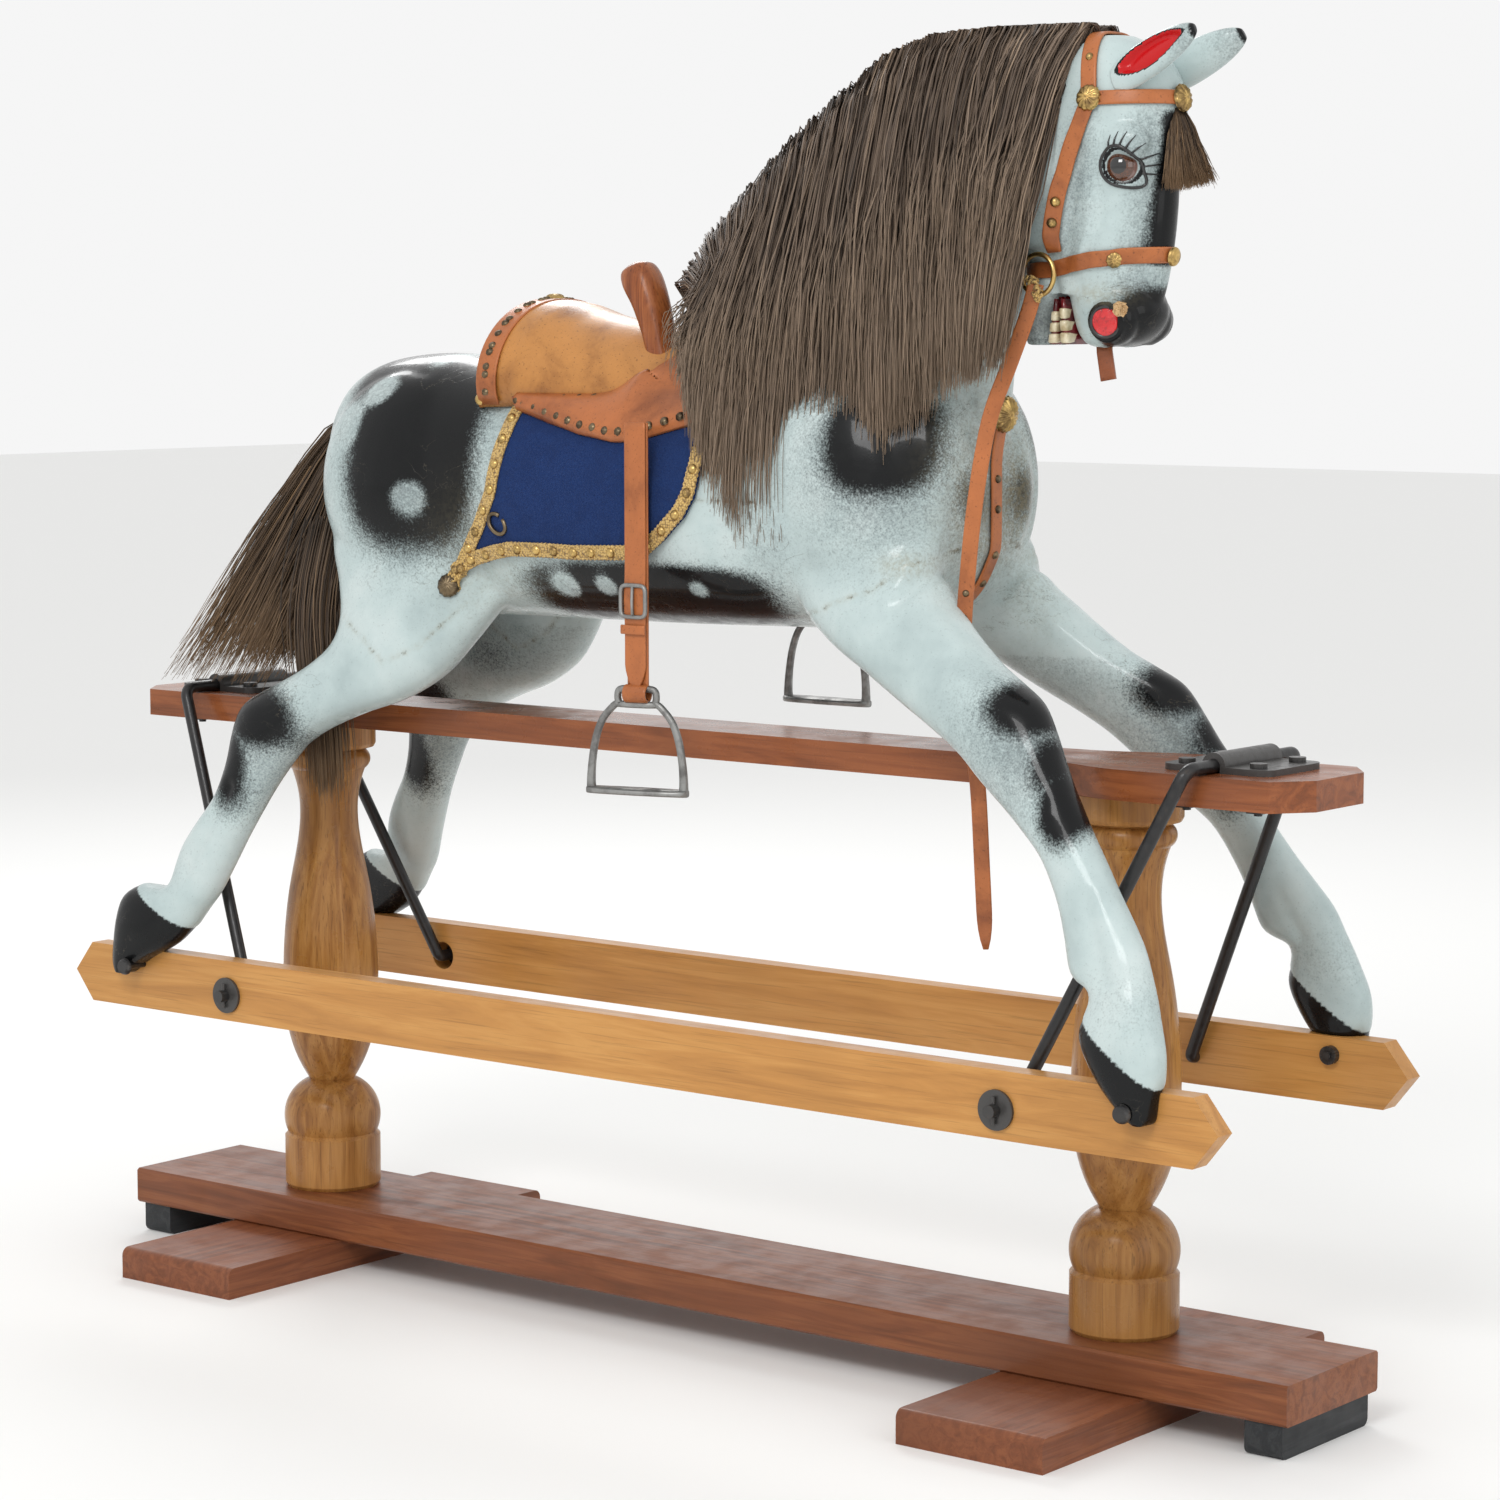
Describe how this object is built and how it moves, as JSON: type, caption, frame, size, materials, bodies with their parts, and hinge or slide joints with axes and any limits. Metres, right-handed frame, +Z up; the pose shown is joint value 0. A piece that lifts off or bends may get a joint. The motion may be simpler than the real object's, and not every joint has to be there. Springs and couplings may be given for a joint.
{
  "type": "rocking horse",
  "caption": "Carved dapple-grey rocking horse with saddle and bridle, gliding on two swing irons hung from a wooden floor stand.",
  "frame": {"origin": "on the floor, under the middle of the stand", "axes": "+X towards the horse's nose, +Y towards the horse's left side, +Z up"},
  "size_m": [1.5, 0.493, 1.3],
  "materials": {
    "dark_pine": "worn satin",
    "black_paint": "worn paint",
    "turned_beech": "satin varnish",
    "rail_mahogany": "satin varnish",
    "rail_beech": "satin varnish",
    "black_iron": "satin",
    "dapple_paint": "glossy varnished paint",
    "tooth_paint": "satin",
    "glass_eye": "polished",
    "tan_leather": "worn satin",
    "brown_leather": "worn satin",
    "navy_felt": "matt felt",
    "gold_braid": "woven",
    "brass": "tarnished",
    "steel": "dull",
    "horse_hair": "combed hair"
  },
  "bodies": {
    "stand": {"base_plank": "dark_pine", "cross_foot_front": "dark_pine", "cross_foot_rear": "dark_pine", "end_block_front": "black_paint", "end_block_rear": "black_paint", "post_front": "turned_beech", "post_rear": "turned_beech", "top_rail": "rail_mahogany", "bracket_front": "black_iron", "bracket_rear": "black_iron", "bracket_bolts": "black_iron"},
    "iron_front": {"swing_iron_front": "black_iron", "iron_washers_front": "black_iron"},
    "iron_rear": {"swing_iron_rear": "black_iron", "iron_washers_rear": "black_iron"},
    "horse": {"hoof_rail_right": "rail_beech", "hoof_rail_left": "rail_beech", "hoof_bolts": "black_iron", "body_upper": "dapple_paint", "body_lower": "dapple_paint", "neck": "dapple_paint", "head": "dapple_paint", "teeth": "tooth_paint", "eyes": "glass_eye", "ears": "dapple_paint", "foreleg_right": "dapple_paint", "foreleg_left": "dapple_paint", "hind_leg_right": "dapple_paint", "hind_leg_left": "dapple_paint", "saddle_seat": "tan_leather", "saddle_skirts": "tan_leather", "saddle_peg": "brown_leather", "saddle_cloth": "navy_felt", "cloth_braid": "gold_braid", "saddle_nails": "brass", "bridle_noseband": "tan_leather", "bridle_browband": "tan_leather", "bridle_cheeks": "tan_leather", "bridle_crown": "tan_leather", "bridle_rosettes": "brass", "bit_rings": "brass", "breast_strap_arms": "tan_leather", "breast_strap_girth": "tan_leather", "breast_rosette": "brass", "rein": "tan_leather", "mane": "horse_hair", "forelock": "horse_hair", "tail": "horse_hair"},
    "leather_right": {"stirrup_leather_right": "brown_leather", "stirrup_buckle_right": "steel"},
    "leather_left": {"stirrup_leather_left": "brown_leather", "stirrup_buckle_left": "steel"},
    "stirrup_right": {"stirrup_iron_right": "steel"},
    "stirrup_left": {"stirrup_iron_left": "steel"}
  },
  "joints": [
    {"name": "front_swing", "type": "hinge", "parent": "stand", "child": "iron_front", "pos_m": [0.645, 0, 0.6227], "axis": [0, 1, 0], "range_deg": [-12, 12]},
    {"name": "horse_rock", "type": "hinge", "parent": "iron_front", "child": "horse", "pos_m": [0.499, 0, 0.3088], "axis": [0, 1, 0], "range_deg": [-15.6, 15.6]},
    {"name": "rear_swing", "type": "hinge", "parent": "stand", "child": "iron_rear", "pos_m": [-0.645, 0, 0.6227], "axis": [0, 1, 0], "range_deg": [-12.1, 12.1]},
    {"name": "leather_right_swing", "type": "hinge", "parent": "horse", "child": "leather_right", "pos_m": [0.04, -0.1415, 0.92], "axis": [0, 1, 0], "range_deg": [-20, 20]},
    {"name": "leather_left_swing", "type": "hinge", "parent": "horse", "child": "leather_left", "pos_m": [0.058, 0.1415, 0.92], "axis": [0, 1, 0], "range_deg": [-20, 20]},
    {"name": "stirrup_right_tilt", "type": "hinge", "parent": "leather_right", "child": "stirrup_right", "pos_m": [0.04, -0.1415, 0.66], "axis": [0.9703, 0.2419, 0], "range_deg": [-30, 30]},
    {"name": "stirrup_left_tilt", "type": "hinge", "parent": "leather_left", "child": "stirrup_left", "pos_m": [0.058, 0.1415, 0.729], "axis": [1, 0, 0], "range_deg": [-30, 30]}
  ],
  "couplings": [
    {"joint": "horse_rock", "follows": "front_swing", "ratio": -1.2926},
    {"joint": "rear_swing", "follows": "front_swing", "ratio": 1}
  ]
}
